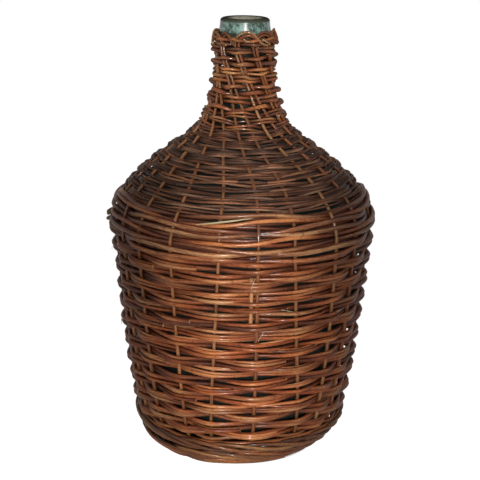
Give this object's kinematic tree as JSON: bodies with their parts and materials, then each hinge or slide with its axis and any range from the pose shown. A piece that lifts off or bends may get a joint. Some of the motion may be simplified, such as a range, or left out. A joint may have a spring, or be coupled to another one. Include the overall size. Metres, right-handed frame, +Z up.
{
  "type": "wicker demijohn",
  "caption": "Wide-shouldered glass bottle with a narrow open neck, cased in a basket of woven willow rods.",
  "frame": {"origin": "centre of the flat underside of the base, on the surface that the demijohn stands on", "axes": "+Z up the axis of the bottle to its mouth, -Y towards the side that the picture shows, +X to the right of that view"},
  "size_m": [0.283, 0.2837, 0.46],
  "materials": {
    "bottle_glass": "old blown green-aqua glass, glossy",
    "stake_willow": "aged varnished willow rod",
    "body_willow": "aged varnished willow rod, red-brown",
    "waist_willow": "aged varnished willow rod, orange-brown",
    "shoulder_willow": "thin weathered willow rod, grey-brown",
    "base_willow": "worn dull willow rod"
  },
  "bodies": {
    "root": {"glass_bottle": "bottle_glass", "base_disc": "base_willow", "foot_border": "base_willow", "foot_waling_1": "base_willow", "foot_waling_2": "base_willow", "foot_waling_3": "base_willow", "stake_01": "stake_willow", "stake_02": "stake_willow", "stake_03": "stake_willow", "stake_04": "stake_willow", "stake_05": "stake_willow", "stake_06": "stake_willow", "stake_07": "stake_willow", "stake_08": "stake_willow", "stake_09": "stake_willow", "stake_10": "stake_willow", "stake_11": "stake_willow", "stake_12": "stake_willow", "stake_13": "stake_willow", "stake_14": "stake_willow", "stake_15": "stake_willow", "stake_16": "stake_willow", "stake_17": "stake_willow", "stake_18": "stake_willow", "stake_19": "stake_willow", "stake_20": "stake_willow", "body_row_01": "body_willow", "body_row_02": "body_willow", "body_row_03": "body_willow", "body_row_04": "body_willow", "body_row_05": "body_willow", "body_row_06": "body_willow", "body_row_07": "body_willow", "body_row_08": "body_willow", "body_row_09": "body_willow", "body_row_10": "body_willow", "body_row_11": "body_willow", "body_row_12": "body_willow", "body_row_13": "body_willow", "body_row_14": "body_willow", "body_row_15": "body_willow", "body_row_16": "body_willow", "body_row_17": "body_willow", "body_row_18": "body_willow", "body_row_19": "body_willow", "waist_waling_1": "waist_willow", "waist_waling_2": "waist_willow", "waist_waling_3": "waist_willow", "waist_waling_4": "waist_willow", "shoulder_band_01": "shoulder_willow", "shoulder_band_02": "shoulder_willow", "shoulder_band_03": "shoulder_willow", "shoulder_band_04": "shoulder_willow", "shoulder_band_05": "shoulder_willow", "shoulder_band_06": "shoulder_willow", "shoulder_band_07": "shoulder_willow", "shoulder_band_08": "shoulder_willow", "shoulder_band_09": "shoulder_willow", "shoulder_band_10": "shoulder_willow", "neck_weaver": "waist_willow"}
  },
  "joints": []
}
